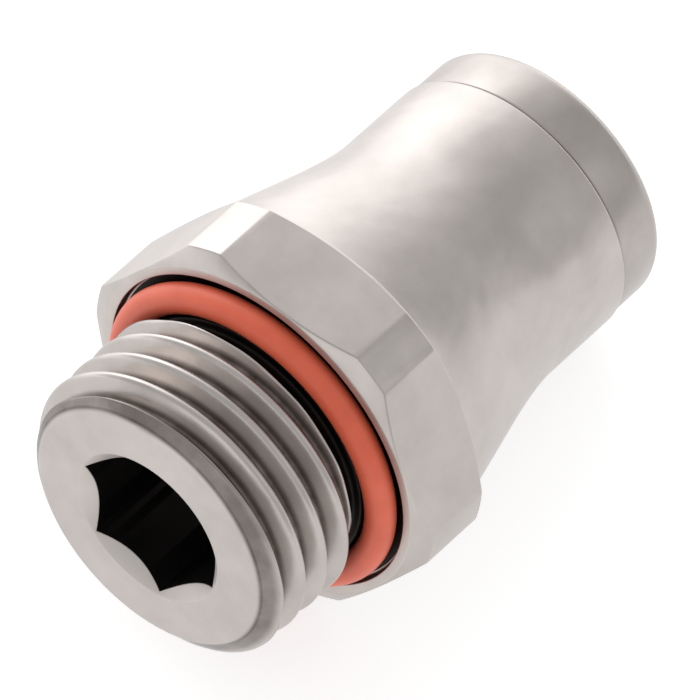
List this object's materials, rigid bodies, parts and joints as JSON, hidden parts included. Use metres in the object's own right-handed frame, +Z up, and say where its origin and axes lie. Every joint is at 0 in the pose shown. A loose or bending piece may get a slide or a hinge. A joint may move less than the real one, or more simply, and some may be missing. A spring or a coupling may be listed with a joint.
{
  "type": "push to connect fitting",
  "caption": "Straight male stud push-in tube fitting: parallel thread with hex key socket, hexagon with face seal, flared barrel and release button.",
  "frame": {"origin": "on the fitting's axis, halfway between the thread's end face and the release button's end", "axes": "+X along the fitting's axis from the thread to the tube mouth, +Z up through a flat of the hexagon, which lies on the opposite flat"},
  "size_m": [0.0256, 0.0176, 0.016],
  "materials": {
    "nickel_plated_brass": "satin nickel plate over turned brass, faint turning lines",
    "nickel_plated_collar": "satin nickel plate, a little darker than the body",
    "nickel_plated_button": "satin nickel plate, polished at its rounded end",
    "face_seal_rubber": "orange-red fluoroelastomer or silicone, soft sheen",
    "tube_seal_rubber": "black nitrile, lightly greased",
    "washer_plastic": "natural acetal",
    "brass": "turned, unplated",
    "stainless_steel": "stamped spring strip"
  },
  "bodies": {
    "stud": {"body": "nickel_plated_brass", "face_seal": "face_seal_rubber", "tube_seal": "tube_seal_rubber", "seal_washer": "washer_plastic", "grip_spacer": "brass", "cartridge_sleeve": "brass", "end_collar": "nickel_plated_collar"},
    "grip": {"gripping_ring": "stainless_steel"},
    "button": {"release_button": "nickel_plated_button"}
  },
  "joints": [
    {"name": "grip_swivel", "type": "hinge", "parent": "stud", "child": "grip", "pos_m": [0, 0, 0], "axis": [1, 0, 0], "continuous": true},
    {"name": "button_press", "type": "slide", "parent": "grip", "child": "button", "axis": [-1, 0, 0], "range_m": [0, 0.0007], "stiffness_N_per_m": 6000, "deforming": ["gripping_ring"]}
  ]
}
